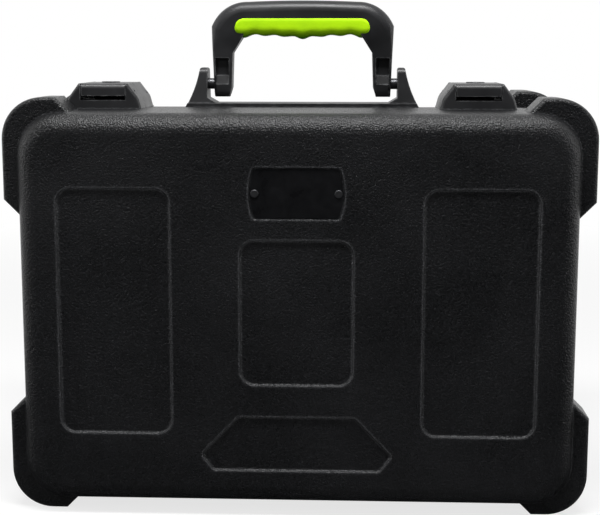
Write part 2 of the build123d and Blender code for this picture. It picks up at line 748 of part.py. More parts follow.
def handle_bracket():
    """The bracket: a plate along the top wall with a post at each end."""
    inner = post_inner
    outline = make_face([
        ThreePointArc((inner + post_foot, 0), (inner + post_waist, post_waist_lift),
                      (inner + post_top, post_height)),
        Polyline((inner + post_top, post_height), (inner, post_height), (inner, post_toe_lifts[1]),
                 (inner - post_toe, post_toe_lifts[0]), (inner - post_toe, 0), (inner + post_foot, 0)),
    ])
    top = outline.vertices().filter_by_position(Axis.Y, post_height - match, post_height + match)
    outline = fillet(top, post_top_round)
    profile = make_face(Polyline(
        (-bracket_length / 2, 0), (-bracket_length / 2, bracket_plate), (-post_thick / 2, post_toe_lifts[0]),
        (-post_top_thick / 2, post_height), (post_top_thick / 2, post_height),
        (post_thick / 2, post_toe_lifts[0]), (bracket_length / 2, bracket_plate),
        (bracket_length / 2, 0), close=True))
    tops = profile.vertices().filter_by_position(Axis.Y, post_height - match, post_height + match)
    post = across(outline, bracket_length) & along(fillet(tops, post_side_round))
    plate = block(-inner, inner, handle_y - bracket_length / 2, handle_y + bracket_length / 2,
                  top_z, top_z + bracket_plate)
    body = plate + post + mirror(post, Plane.YZ)
    for sign in (-1, 1):
        body = body - rod((sign * inner, handle_y, pivot_z), "X", handle_pin_r + pin_gap,
                          2 * post_top)
    for x, y in bracket_screw_points():
        body = body - rod((x, y, top_z), "Z", bracket_screw_r + pin_gap, 2 * (bracket_screw_bite + pin_gap))
    return body


def backing_turn():
    """Places a piece against the inner face of the base's top wall, which slopes with the draft."""
    z = inner_wall(handle_back, base_draft, 0, True)
    return Pos(0, handle_y, z) * Rot(-base_draft, 0, 0)


def handle_backing():
    """The steel plate inside the wall that the bracket's screws pull against."""
    plate = Pos(0, 0, -backing_thick / 2) * Box(backing_width, backing_length, backing_thick)
    plate = fillet(plate.edges().filter_by(Axis.Z), backing_corner)
    plate = backing_turn() * plate
    for x, y in bracket_screw_points():
        plate = plate - rod((x, y, top_z), "Z", bracket_screw_r + pin_gap, 2 * top_z)
    return plate


def bracket_screws():
    """The bracket's four screws, from under the backing plate into the posts."""
    screws = []
    for x, y in bracket_screw_points():
        slope = (y - handle_y + bracket_screw_head_r) * tan(radians(base_draft))
        z_in = inner_wall(handle_back, base_draft, 0, True) - backing_thick - slope - pin_gap
        screws.append(wall_fastener(x, y, top_z + bracket_screw_bite, z_in, bracket_screw_r,
                                    bracket_screw_head_r, bracket_screw_head_h))
    return screws


def nameplate():
    """The plate that lies in the lid's small recess."""
    place = front.offset(lid_depth - recess_depth)
    body = extrude(place * (Pos(0, plate_lift - mid_z) * nameplate_outline(-plate_inset)), amount=plate_thick)
    for sign in (-1, 1):
        x = sign * plate_screw_spacing / 2
        body = body - rod((x, face_y, plate_lift), "Y", plate_screw_r + pin_gap, 4 * recess_depth)
    return body


def nameplate_screws():
    """The plate's two screws, with domed heads."""
    y_plate = face_y + recess_depth - plate_thick
    length = plate_thick + wall - 1
    screws = []
    for sign in (-1, 1):
        x = sign * plate_screw_spacing / 2
        shank = rod((x, y_plate + length / 2, plate_lift), "Y", plate_screw_r, length)
        head = rod((x, y_plate - plate_head_h / 2, plate_lift), "Y", plate_head_r, plate_head_h)
        head = fillet(head.edges().filter_by(GeomType.CIRCLE).sort_by(Axis.Y)[0], plate_head_h * 0.6)
        screws.append(shank + head)
    return screws


def foam_pieces():
    """The base's foam: a floor pad, the drop block, and the surround of the accessory well."""
    full = base_depth - wall - recess_depth - fit_gap
    body = drafted(back, foam_inset, full, base_draft, foam_round)
    pad_start = full - floor_pad_thick
    block_zone = body & slab(foam_setback, pad_start - fit_gap)
    above = block(-case_width, case_width, face_y, rear_y, foam_split + fit_gap / 2, 2 * top_z)
    below = block(-case_width, case_width, face_y, rear_y, 0, foam_split - fit_gap / 2)
    drops = block_zone & above
    centre_y = seam_y + pad_start / 2
    for column in range(drop_columns):
        for row in range(drop_rows):
            x = (column - (drop_columns - 1) / 2) * drop_pitch_x
            z = drop_lift + (row - (drop_rows - 1) / 2) * drop_pitch_z
            drops = drops - rod((x, centre_y, z), "Y", drop_r, base_depth)
    relief = Box(backing_width + 2 * backing_relief_margin, backing_length + 2 * backing_relief_margin,
                 2 * backing_relief)
    drops = drops - backing_turn() * relief
    well = Pos(0, centre_y, well_lift) * Box(well_width, base_depth, well_height)
    surround = (block_zone & below) - fillet(well.edges().filter_by(Axis.Y), well_corner)
    return {
        "foam_floor_pad": body & slab(pad_start, base_depth),
        "foam_drop_block": drops,
        "foam_well_surround": surround,
    }


def lid_foam():
    """The foam pad that lines the lid's face."""
    full = lid_depth - wall - recess_depth - fit_gap
    body = drafted(front, wall + fit_gap, full, lid_draft, edge_round - wall - recess_depth)
    return body & slab(-full, lid_foam_thick - full)


def drill(shell, points, r, z0, z1):
    """Holes up and down through a shell's wall."""
    for x, y in points:
        shell = shell - rod((x, y, (z0 + z1) / 2), "Z", r, z1 - z0)
    return shell


def finished_lid():
    """The lid's shell with its screw and rivet holes."""
    shell = lid_shell()
    for x in latch_places.values():
        points = latch_screw_points(x, (-keeper_screw_back,))
        shell = drill(shell, points, latch_screw_r + pin_gap, mid_z, 2 * top_z)
    shell = drill(shell, hinge_rivet_points(-1), rivet_r + rivet_gap, 0, mid_z)
    for sign in (-1, 1):
        depth = 2 * (recess_depth + wall)
        centre = (sign * plate_screw_spacing / 2, face_y, plate_lift)
        shell = shell - rod(centre, "Y", plate_screw_r + pin_gap, depth)
    return shell


def finished_base():
    """The base's shell with its screw and rivet holes."""
    shell = base_shell()
    for x in latch_places.values():
        points = latch_screw_points(x, housing_screw_backs)
        shell = drill(shell, points, latch_screw_r + pin_gap, mid_z, 2 * top_z)
    shell = drill(shell, hinge_rivet_points(1), rivet_r + rivet_gap, 0, mid_z)
    return drill(shell, bracket_screw_points(), bracket_screw_r + pin_gap, mid_z, 2 * top_z)


def save(name, shape):
    """Write one named piece, or a group of like pieces."""
    shape = Compound(children=shape) if isinstance(shape, list) else shape
    shape.label = name
    export_step(shape, f"parts/{name}.step")


os.makedirs("parts", exist_ok=True)
pieces = {
    "lid_shell": finished_lid(),
    "base_shell": finished_base(),
    "lid_valance": lid_valance(),
    "base_valance": base_valance(),
    "nameplate": nameplate(),
    "nameplate_screws": nameplate_screws(),
    "handle_bracket": handle_bracket(),
    "handle_frame": handle_frame(),
    "handle_grip": handle_grip(),
    "handle_pins": handle_pins(),
    "handle_backing_plate": handle_backing(),
    "bracket_screws": bracket_screws(),
    "lid_foam": lid_foam(),
    "lid_hinge_rivets": hinge_rivets(-1, lid_draft),
    "base_hinge_rivets": hinge_rivets(1, base_draft),
    "keeper_screws": latch_screws((-keeper_screw_back,), lid_draft),
    "housing_screws": latch_screws(housing_screw_backs, base_draft),
}
pieces.update(foam_pieces())
for number, place in enumerate(hinge_places, 1):
    pieces.update({f"hinge_{number}_{name}": piece for name, piece in hinge(place).items()})
for side_name, place in latch_places.items():
    pieces.update({f"{side_name}_latch_{name}": piece for name, piece in latch(place).items()})
for name, piece in pieces.items():
    save(name, piece)
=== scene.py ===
import json
import math

import bmesh
import bpy
import numpy as np
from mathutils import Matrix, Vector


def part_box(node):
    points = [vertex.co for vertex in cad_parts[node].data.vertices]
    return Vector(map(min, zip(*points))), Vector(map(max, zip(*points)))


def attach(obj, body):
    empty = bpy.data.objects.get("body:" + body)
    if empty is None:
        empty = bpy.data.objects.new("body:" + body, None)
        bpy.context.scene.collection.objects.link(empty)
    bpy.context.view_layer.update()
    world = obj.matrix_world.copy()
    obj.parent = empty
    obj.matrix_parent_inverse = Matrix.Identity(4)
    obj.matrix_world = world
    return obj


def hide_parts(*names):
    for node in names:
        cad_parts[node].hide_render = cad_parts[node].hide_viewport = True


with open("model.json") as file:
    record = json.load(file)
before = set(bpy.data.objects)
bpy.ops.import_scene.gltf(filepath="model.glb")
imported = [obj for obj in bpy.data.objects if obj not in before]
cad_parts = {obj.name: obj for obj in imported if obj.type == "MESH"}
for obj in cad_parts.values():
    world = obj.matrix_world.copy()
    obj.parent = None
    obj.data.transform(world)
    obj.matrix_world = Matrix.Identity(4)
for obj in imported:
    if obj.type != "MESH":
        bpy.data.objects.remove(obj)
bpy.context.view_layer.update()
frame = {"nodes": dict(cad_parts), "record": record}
nodes = frame["nodes"]
print("frame loaded:", len(nodes), "nodes")


# camera, on the lid's side and a little above the handle

cameraSet = {
    "place": (0.052, -1.2316, 0.4065),
    "tilt": 80.94,            # degrees from straight down
    "roll": -0.04,
    "turn": 2.573,
    "lens": 77.7,             # millimetres
    "sensor": 36.0,           # millimetres
    "reach": 50.0,            # metres
}


def makeCamera():
    data = bpy.data.cameras.new("camera")
    data.lens = cameraSet["lens"]
    data.sensor_width = cameraSet["sensor"]
    data.clip_end = cameraSet["reach"]
    cam = bpy.data.objects.new("camera", data)
    cam.location = cameraSet["place"]
    cam.rotation_euler = [math.radians(cameraSet[k]) for k in ("tilt", "roll", "turn")]
    bpy.context.scene.collection.objects.link(cam)
    bpy.context.scene.camera = cam


makeCamera()
print("camera placed")


# shader sums: a wrapped socket, so that plain expressions add Math nodes

class Wire:
    def __init__(self, graph, socket):
        self.graph = graph
        self.socket = socket

    def maths(self, operation, other, swap=False):
        first, second = (other, self) if swap else (self, other)
        return self.graph.add("ShaderNodeMath", {"operation": operation}, {0: first, 1: second}).out(0)

    def __add__(self, other):
        return self.maths("ADD", other)

    def __radd__(self, other):
        return self.maths("ADD", other, True)

    def __sub__(self, other):
        return self.maths("SUBTRACT", other)

    def __rsub__(self, other):
        return self.maths("SUBTRACT", other, True)

    def __mul__(self, other):
        return self.maths("MULTIPLY", other)

    def __rmul__(self, other):
        return self.maths("MULTIPLY", other, True)


class Made:
    def __init__(self, graph, node):
        self.graph = graph
        self.node = node

    def out(self, key):
        return Wire(self.graph, self.node.outputs[key])


class Graph:
    def __init__(self, material):
        material.use_nodes = True
        self.tree = material.node_tree
        self.tree.nodes.clear()

    def add(self, kind, settings=None, inputs=None):
        # the settings are set first, then each input gets its value or its link
        node = self.tree.nodes.new(kind)
        for name, value in (settings or {}).items():
            setattr(node, name, value)
        for key, value in (inputs or {}).items():
            socket = node.inputs[key]
            if isinstance(value, Wire):
                self.tree.links.new(value.socket, socket)
            else:
                socket.default_value = value
        return Made(self, node)

    def place(self):
        return self.add("ShaderNodeTexCoord").out("Object")

    def noise(self, scale, detail, rough, at=None):
        return self.add("ShaderNodeTexNoise", {}, {
            "Vector": at or self.place(), "Scale": scale, "Detail": detail, "Roughness": rough}).out("Fac")

    def spread(self, value, low, high, toLow=0.0, toHigh=1.0):
        return self.add("ShaderNodeMapRange", {}, {
            "Value": value, "From Min": low, "From Max": high,
            "To Min": toLow, "To Max": toHigh}).out("Result")

    def blendColour(self, factor, first, second):
        return self.add("ShaderNodeMix", {"data_type": "RGBA"}, {0: factor, 6: first, 7: second}).out(2)

    def bump(self, height, strength, distance):
        return self.add("ShaderNodeBump", {}, {
            "Height": height, "Strength": strength, "Distance": distance}).out("Normal")

    def edgeMask(self, radius, sharp):
        # how far the bevelled normal leans from the true one: 0 on flats, 1 on edges
        bevel = self.add("ShaderNodeBevel", {"samples": 4}, {"Radius": radius}).out("Normal")
        flat = self.add("ShaderNodeNewGeometry").out("Normal")
        dot = self.add("ShaderNodeVectorMath", {"operation": "DOT_PRODUCT"}, {0: bevel, 1: flat}).out("Value")
        return self.spread(dot, 1.0, sharp)

    def finish(self, inputs):
        shader = self.add("ShaderNodeBsdfPrincipled", {}, inputs)
        self.add("ShaderNodeOutputMaterial", {}, {"Surface": shader.out("BSDF")})


def newMaterial(name):
    material = bpy.data.materials.new(name)
    return material, Graph(material)


# finishes; a pattern is given as scale, detail and roughness, a bump as strength and depth, and
# an edge as its rounding and the product of the two normals at which its colour is full: worn edges, on the
# shell partly a painted highlight

noiseSpan = (0.3, 0.7)    # most of a noise lies between these

shellFinish = {
    "deep": (0.0010, 0.0011, 0.0013, 1), "worn": (0.0190, 0.0197, 0.0222, 1),
    "rubbed": (0.095, 0.097, 0.102, 1), "edge": (0.0030, 0.90),       # along edges: rubbed wear, and in part a painted highlight
    "grain": 700.0, "smooth": 0.7,
    "fine": (1900.0, 3.0, 0.6), "broad": (9.0, 4.0, 0.6), "fleck": (910.0, 2.0, 0.7),
    "grainHeight": 0.8, "fineHeight": 0.35, "bump": (1.0, 0.0007),
    "broadTone": 0.15, "fleckTone": 0.65, "fineTone": 0.2,            # shares of the tone
    "broadSpan": (0.35, 0.7), "fleckSpan": (0.50, 0.74), "grainSpan": (0.1, 0.7),
    "plainWearAndHighlight": 0.25, "fleckWearAndHighlight": 0.75,                             # shares of the rubbed edge, which is partly a painted highlight
    "rough": (0.22, 0.40), "sway": (-0.04, 0.04), "level": 0.34,
}


def mouldedShell():
    # leather grain: smooth cells over fine noise; broad noise shifts the tone and the gloss
    s = shellFinish
    material, g = newMaterial("mouldedShell")
    at = g.place()
    grain = g.add("ShaderNodeTexVoronoi", {"feature": "SMOOTH_F1"}, {
        "Vector": at, "Scale": s["grain"], "Smoothness": s["smooth"], "Randomness": 1.0}).out("Distance")
    fine = g.noise(*s["fine"], at)
    broad = g.noise(*s["broad"], at)
    flecks = g.spread(g.noise(*s["fleck"], at), *s["fleckSpan"])
    height = grain * s["grainHeight"] + fine * s["fineHeight"]
    tone = (g.spread(broad, *s["broadSpan"]) * s["broadTone"] + flecks * s["fleckTone"]
            + g.spread(fine, *noiseSpan) * s["fineTone"])
    # the lighter edges are partly rubbed wear and partly a painted highlight
    rubbed = g.edgeMask(*s["edge"]) * (s["plainWearAndHighlight"] + flecks * s["fleckWearAndHighlight"])
    g.finish({
        "Base Color": g.blendColour(rubbed, g.blendColour(tone, s["deep"], s["worn"]), s["rubbed"]),
        "Roughness": g.spread(grain, *s["grainSpan"], *s["rough"]) + g.spread(broad, *noiseSpan, *s["sway"]),
        "Specular IOR Level": s["level"],
        "Normal": g.bump(height, *s["bump"]),
    })
    return material


satinFinish = {
    "broad": (22.0, 3.0, 0.55), "broadSpan": (0.35, 0.7),
    "rub": (180.0, 3.0, 0.6), "rubSpan": (0.40, 0.66), "bump": (0.35, 0.00012),
    "handle": {
        "deep": (0.007, 0.0072, 0.008, 1), "worn": (0.014, 0.0143, 0.016, 1),
        "rubbed": (0.085, 0.087, 0.09, 1), "edge": (0.0018, 0.93),
        "skin": (2600.0, 4.0, 0.65), "rough": (0.36, 0.50), "level": 0.40,
    },
    "latch": {
        "deep": (0.008, 0.0082, 0.009, 1), "worn": (0.017, 0.0173, 0.019, 1),
        "rubbed": (0.10, 0.102, 0.105, 1), "edge": (0.0015, 0.93),
        "skin": (2200.0, 4.0, 0.65), "rough": (0.34, 0.46), "level": 0.5,
    },
}


def satinPlastic(name, part):
    # fine spark-eroded skin with slightly rubbed edges
    s, own = satinFinish, satinFinish[part]
    material, g = newMaterial(name)
    at = g.place()
    skin = g.noise(*own["skin"], at)
    broad = g.noise(*s["broad"], at)
    rubbed = g.edgeMask(*own["edge"]) * g.spread(g.noise(*s["rub"], at), *s["rubSpan"])
    base = g.blendColour(g.spread(broad, *s["broadSpan"]), own["deep"], own["worn"])
    g.finish({
        "Base Color": g.blendColour(rubbed, base, own["rubbed"]),
        "Roughness": g.spread(broad, *noiseSpan, *own["rough"]),
        "Specular IOR Level": own["level"],
        "Normal": g.bump(skin, *s["bump"]),
    })
    return material


gripFinish = {
    # deep is the dark green that paints the shade on the underside
    "bright": (0.35, 0.63, 0.001, 1), "rubbed": (0.28, 0.53, 0.001, 1), "deep": (0.028, 0.155, 0.0005, 1),
    "fade": (0.4190, 0.4275), "shadeBorderWaver": 0.002,      # height of the border below which the underside's shade is painted dark green, and how it wanders
    "broad": (40.0, 3.0, 0.5), "broadSpan": (0.35, 0.75),
    "skin": (3200.0, 3.0, 0.6), "bump": (0.25, 0.0001),
    "rough": (0.54, 0.66), "level": 0.12,
}


def softGrip():
    # lime rubber, a little deeper where hands rub it, with the underside's shade painted as dark green
    s = gripFinish
    material, g = newMaterial("softGrip")
    at = g.place()
    broad = g.noise(*s["broad"], at)
    height = g.add("ShaderNodeSeparateXYZ", {}, {"Vector": at}).out("Z") + broad * s["shadeBorderWaver"]
    upper = g.blendColour(g.spread(broad, *s["broadSpan"]), s["bright"], s["rubbed"])
    g.finish({
        # below the fade height the lime goes over to the painted shade of the underside
        "Base Color": g.blendColour(g.spread(height, *s["fade"]), s["deep"], upper),
        "Specular IOR Level": s["level"],
        "Roughness": g.spread(broad, *noiseSpan, *s["rough"]),
        "Normal": g.bump(g.noise(*s["skin"], at), *s["bump"]),
    })
    return material


metalFinish = {
    "lines": (1400.0, 3.0, 0.6), "bump": (0.15, 0.00005),
    "broad": (30.0, 4.0, 0.6), "broadSpan": (0.3, 0.75), "metallic": 0.9,
    "steel": {
        "tone": (0.055, 0.056, 0.06, 1), "light": (0.11, 0.112, 0.118, 1),
        "rough": (0.30, 0.46), "stretch": (1, 1, 1),
    },
    "valance": {
        "tone": (0.05, 0.05, 0.053, 1), "light": (0.085, 0.085, 0.09, 1),
        "rough": (0.26, 0.40), "stretch": (0.05, 1, 0.05),
    },
}


def brushedMetal(name, part):
    # fine lines from noise that each metal stretches its own way
    s, own = metalFinish, metalFinish[part]
    material, g = newMaterial(name)
    scaled = g.add("ShaderNodeMapping", {}, {"Vector": g.place(), "Scale": own["stretch"]}).out("Vector")
    lines = g.noise(*s["lines"], scaled)
    broad = g.noise(*s["broad"])
    g.finish({
        "Base Color": g.blendColour(g.spread(broad, *s["broadSpan"]), own["tone"], own["light"]),
        "Metallic": s["metallic"],
        "Roughness": g.spread(lines, *noiseSpan, *own["rough"]),
        "Normal": g.bump(lines, *s["bump"]),
    })
    return material


plateFinish = {
    "tone": (0.0035, 0.0036, 0.0040, 1), "light": (0.0065, 0.0067, 0.0074, 1),
    "wipe": (60.0, 5.0, 0.7), "wipeSpan": (0.35, 0.7),
    "skin": (2400.0, 2.0, 0.5), "bump": (0.12, 0.00006),
    "rough": (0.26, 0.34), "level": 0.07,
}


def smoothPlate():
    # the nameplate's blank face: smooth dark plastic with faint wipe marks
    s = plateFinish
    material, g = newMaterial("smoothPlate")
    at = g.place()
    wipe = g.noise(*s["wipe"], at)
    g.finish({
        "Base Color": g.blendColour(g.spread(wipe, *s["wipeSpan"]), s["tone"], s["light"]),
        "Roughness": g.spread(wipe, *noiseSpan, *s["rough"]),
        "Specular IOR Level": s["level"],
        "Normal": g.bump(g.noise(*s["skin"], at), *s["bump"]),
    })
    return material


foamFinish = {
    "tone": (0.020, 0.020, 0.022, 1), "light": (0.052, 0.052, 0.056, 1),
    "pores": 900.0, "poreSpan": (0.1, 0.75), "poreShadeShare": 0.7, "poreHeight": 0.7,
    "cloud": (350.0, 4.0, 0.7), "cloudTone": 0.3, "cloudHeight": 0.6,
    "rough": (0.86, 0.98), "level": 0.2, "bump": (0.8, 0.0006),
}


def openFoam():
    # open cells: dark pores between pale ribs; the pores' dark is painted shade inside the cells
    s = foamFinish
    material, g = newMaterial("openFoam")
    at = g.place()
    pores = g.add("ShaderNodeTexVoronoi", {"feature": "F1"}, {
        "Vector": at, "Scale": s["pores"]}).out("Distance")
    cloud = g.noise(*s["cloud"], at)
    poreShadeMask = g.spread(pores, *s["poreSpan"])
    g.finish({
        # the pores are darkened as painted shade; the cloud varies the tone at random
        "Base Color": g.blendColour(poreShadeMask * s["poreShadeShare"] + cloud * s["cloudTone"], s["tone"], s["light"]),
        "Roughness": g.spread(cloud, *noiseSpan, *s["rough"]),
        "Specular IOR Level": s["level"],
        "Normal": g.bump(pores * s["poreHeight"] + cloud * s["cloudHeight"], *s["bump"]),
    })
    return material


finishes = {
    "shell_plastic": mouldedShell(),
    "handle_plastic": satinPlastic("handleNylon", "handle"),
    "latch_plastic": satinPlastic("latchNylon", "latch"),
    "grip_rubber": softGrip(),
    "valance_aluminium": brushedMetal("valanceMetal", "valance"),
    "steel": brushedMetal("blackSteel", "steel"),
    "nameplate": smoothPlate(),
    "foam": openFoam(),
}
for part in frame["record"]["subparts"]:
    mesh = nodes[part["node"]].data
    mesh.materials.clear()
    mesh.materials.append(finishes[part["material_slot"]])
print("finishes set:", len(finishes))


# surfaces: grids of points, joined where their borders meet

def patchFaces(rows, columns):
    # quads of a grid of rows by columns points
    index = np.arange(rows * columns).reshape(rows, columns)
    return np.stack([index[:-1, :-1], index[:-1, 1:], index[1:, 1:], index[1:, :-1]], -1).reshape(-1, 4)


def joinPatches(name, patches):
    # all patches in one mesh; equal border points are merged and faces turned outwards
    points = [patch.reshape(-1, 3) for patch in patches]
    starts = np.cumsum([0] + [len(p) for p in points[:-1]])
    faces = [patchFaces(*patch.shape[:2]) + start for patch, start in zip(patches, starts)]
    mesh = bpy.data.meshes.new(name)
    mesh.from_pydata(np.concatenate(points).tolist(), [], np.concatenate(faces).tolist())
    work = bmesh.new()
    work.from_mesh(mesh)
    bmesh.ops.remove_doubles(work, verts=work.verts, dist=2e-6)
    bmesh.ops.recalc_face_normals(work, faces=work.faces)
    if work.calc_volume(signed=True) < 0:
        bmesh.ops.reverse_faces(work, faces=work.faces)
    work.to_mesh(mesh)
    work.free()
    mesh.polygons.foreach_set("use_smooth", np.ones(len(mesh.polygons), bool))
    piece = bpy.data.objects.new(name, mesh)
    bpy.context.scene.collection.objects.link(piece)
    return piece


def spanned(u, v, zone):
    # a square from -1 to 1 stretched over a zone; in a corner square of side r a point moves
    # along its ray from the arc's centre by max(|dx|, |dz|) / length, which fills a quarter disc
    halfWidth, lowZ, highZ, lowRound, highRound = zone
    x, z = u * halfWidth, lowZ + (v + 1) / 2 * (highZ - lowZ)
    middle = (lowZ + highZ) / 2
    r = np.where(z > middle, highRound, lowRound)
    centreX = np.sign(x) * (halfWidth - r)
    centreZ = np.where(z > middle, highZ - r, lowZ + r)
    dx, dz = x - centreX, z - centreZ
    inCorner = (dx * np.sign(x) > 0) & (dz * np.sign(z - middle) > 0)
    shrink = np.maximum(np.abs(dx), np.abs(dz)) / np.maximum(np.hypot(dx, dz), 1e-9)
    return np.where(inCorner, centreX + dx * shrink, x), np.where(inCorner, centreZ + dz * shrink, z)


def onceRound(side, rise):
    # the border of a square, from its low left corner, through the given steps along and up
    u = np.concatenate([side, np.ones(len(rise) - 2), side[::-1], -np.ones(len(rise) - 1)])
    v = np.concatenate([-np.ones(len(side)), rise[1:-1], np.ones(len(side)), rise[-2::-1]])
    return u, v


def smoothStep(value, low, high):
    # 0 up to low, 1 from high on, and three t squared less two t cubed between them
    t = np.clip((value - low) / (high - low), 0, 1)
    return t * t * (3 - 2 * t)


def sideProfile(deep, nearRound, farRound, run, count=6):
    # depth and inset down a side: a quarter round, the straight run, a quarter round
    turn = np.linspace(0, math.pi / 2, count)
    near, far = 1 - np.cos(turn), 1 - np.sin(turn)
    depth = np.concatenate([nearRound * near, run, deep - farRound * near[::-1]])
    inset = np.concatenate([nearRound * far, np.zeros(len(run)), farRound * far[::-1]])
    return depth, inset


# foam, cut to the drafted insides of the two shells

foamSet = {
    "baseDraft": 2.2, "lidDraft": 1.0,      # degrees
    "corner": 0.031,                        # outline's corner at the seam
    "edge": 0.0025,                         # softened cut edges
    "shellRound": 0.010,                    # edge that lies in a shell's own corner
    "slabRows": 6,
    "margin": 0.01, "wallRows": 8,          # from a face to the first row of a long wall, and its rows
    "fill": 0.9,
}


def foamZone(node, draft, lowRound, highRound):
    # a foam's outline by depth: the box of its node, drawn in by the draft and by an inset
    low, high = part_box(node)
    slant = math.tan(math.radians(draft))

    def zoneAt(depth, inset):
        shrink = depth * slant + inset
        rounds = [max(r - inset, 0.0) if r else 0.0 for r in (lowRound, highRound)]
        return [high[0] - shrink, low[2] + (shrink if lowRound else inset),
                high[2] - (shrink if highRound else inset)] + rounds
    return low, high, zoneAt


def dressFoam(piece, node, body):
    # the foam's finish, and what it replaces and rides on
    piece.data.materials.append(finishes["foam"])
    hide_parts(node)
    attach(piece, body)


def foamSlab(name, node, body, draft, facing, steps, relief):
    # a face grid lowered by relief(x, z, rim), a drafted side wall and a flat back
    edge, corner = foamSet["edge"], foamSet["corner"]
    low, high, zoneAt = foamZone(node, draft, corner, corner)
    deep = high[1] - low[1]
    start = high[1] if facing > 0 else low[1]
    side, rise = np.linspace(-1, 1, steps[0]), np.linspace(-1, 1, steps[1])
    u, v = np.meshgrid(side, rise)
    x, z = spanned(u, v, zoneAt(0, edge))
    rim = np.minimum((1 - np.abs(u)) * high[0], (1 - np.abs(v)) * (high[2] - low[2]) / 2)
    face = np.stack([x, start - facing * relief(x, z, rim), z], -1)
    loopU, loopV = onceRound(side, rise)
    rows = []
    run = np.linspace(edge, deep - foamSet["shellRound"], foamSet["slabRows"])[1:-1]
    for depth, inset in zip(*sideProfile(deep, edge, foamSet["shellRound"], run)):
        loopX, loopZ = spanned(loopU, loopV, zoneAt(depth, inset))
        rows.append(np.stack([loopX, np.full_like(loopX, start - facing * depth), loopZ], -1))
    backX, backZ = spanned(u, v, zoneAt(deep, foamSet["shellRound"]))
    back = np.stack([backX, np.full_like(backX, start - facing * deep), backZ], -1)
    piece = joinPatches(name, [face, np.stack(rows), back])
    dressFoam(piece, node, body)


eggSet = {
    "pitch": 0.044, "deep": 0.017,
    "middleZ": 0.18315,                     # height that the waves are centred on
    "rim": (0.010, 0.024),                  # flat up to the first, full depth from the second on
    "steps": (170, 120),
}
padSet = {"dent": 0.0012, "rim": (0.005, 0.05), "steps": (60, 42)}


def eggRelief(x, z, rim):
    # depth = deep * (1 - cos x cos z) / 2, levelled off along the rim
    turn = 2 * math.pi / eggSet["pitch"]
    wave = (1 - np.cos(x * turn) * np.cos((z - eggSet["middleZ"]) * turn)) / 2
    return eggSet["deep"] * wave * smoothStep(rim, *eggSet["rim"])


def padRelief(x, z, rim):
    # a slack face: it sinks a little between its edges
    return padSet["dent"] * smoothStep(rim, *padSet["rim"])


foamSlab("lidEggFoam", "lid_foam", "lid", foamSet["lidDraft"], 1, eggSet["steps"], eggRelief)
foamSlab("floorFoam", "foam_floor_pad", "base", foamSet["baseDraft"], -1, padSet["steps"], padRelief)
print("lid foam and floor pad made")


dropSet = {
    "columns": 5, "rows": 3,
    "pitchX": 0.086, "pitchZ": 0.074, "middleZ": 0.230,
    "bore": 0.022, "lip": 0.002,
    "steps": 12,                            # along one side of a cell
    "bends": (0, 0.12, 0.3, 0.6, 1.0),      # share of the square in each row of a cell
    "faceRows": 4, "backRows": 9,
    "plate": (0.114, -0.0386, 0.0015),      # relief over the handle's backing plate: half width, y range
    "relief": 0.0055, "step": 0.001,        # its depth, and the length over which it drops
    "runOut": (0.004, 0.016),               # past the plate's ends it rises again
}


